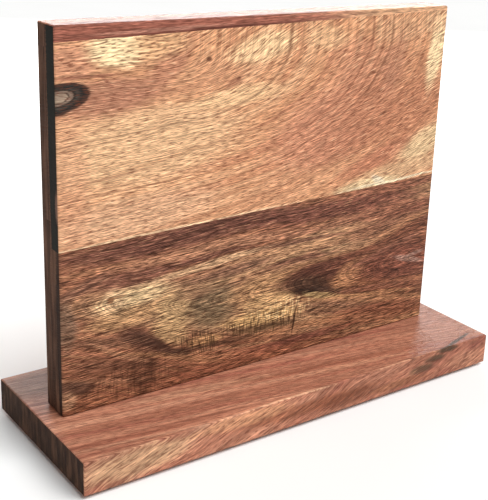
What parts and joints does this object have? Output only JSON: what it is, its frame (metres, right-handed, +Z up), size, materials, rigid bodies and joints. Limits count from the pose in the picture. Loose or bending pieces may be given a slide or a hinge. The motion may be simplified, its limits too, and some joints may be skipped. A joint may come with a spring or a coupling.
{
  "type": "magnetic knife rack",
  "caption": "Free-standing double-sided magnetic knife rack: an upright acacia board glued up from staves, with bar magnets sealed inside, on a flat rectangular base board.",
  "frame": {"origin": "on the worktop, under the middle of the base board", "axes": "+Z up, +X along the upright board, -Y out of its front face"},
  "size_m": [0.3, 0.11, 0.2381],
  "materials": {
    "acacia_light": "oiled satin",
    "acacia_dark": "oiled satin",
    "acacia_base": "oiled satin",
    "nickel_plate": "bright nickel plate",
    "zinc_plate": "bright zinc plate",
    "beech": "bare, turned",
    "rubber": "matt"
  },
  "bodies": {
    "root": {"base_board": "acacia_base", "front_top_strip": "acacia_dark", "front_upper_stave": "acacia_light", "front_lower_stave": "acacia_dark", "back_top_strip": "acacia_dark", "back_upper_stave": "acacia_light", "back_lower_stave": "acacia_dark", "front_magnet_lower_1": "nickel_plate", "front_magnet_lower_2": "nickel_plate", "front_magnet_lower_3": "nickel_plate", "front_magnet_lower_4": "nickel_plate", "front_magnet_lower_5": "nickel_plate", "front_magnet_lower_6": "nickel_plate", "front_magnet_upper_1": "nickel_plate", "front_magnet_upper_2": "nickel_plate", "front_magnet_upper_3": "nickel_plate", "front_magnet_upper_4": "nickel_plate", "front_magnet_upper_5": "nickel_plate", "front_magnet_upper_6": "nickel_plate", "back_magnet_lower_1": "nickel_plate", "back_magnet_lower_2": "nickel_plate", "back_magnet_lower_3": "nickel_plate", "back_magnet_lower_4": "nickel_plate", "back_magnet_lower_5": "nickel_plate", "back_magnet_lower_6": "nickel_plate", "back_magnet_upper_1": "nickel_plate", "back_magnet_upper_2": "nickel_plate", "back_magnet_upper_3": "nickel_plate", "back_magnet_upper_4": "nickel_plate", "back_magnet_upper_5": "nickel_plate", "back_magnet_upper_6": "nickel_plate", "base_screw_left": "zinc_plate", "base_screw_middle": "zinc_plate", "base_screw_right": "zinc_plate", "dowel_left": "beech", "dowel_right": "beech", "foot_front_left": "rubber", "foot_front_right": "rubber", "foot_back_left": "rubber", "foot_back_right": "rubber"}
  },
  "joints": []
}
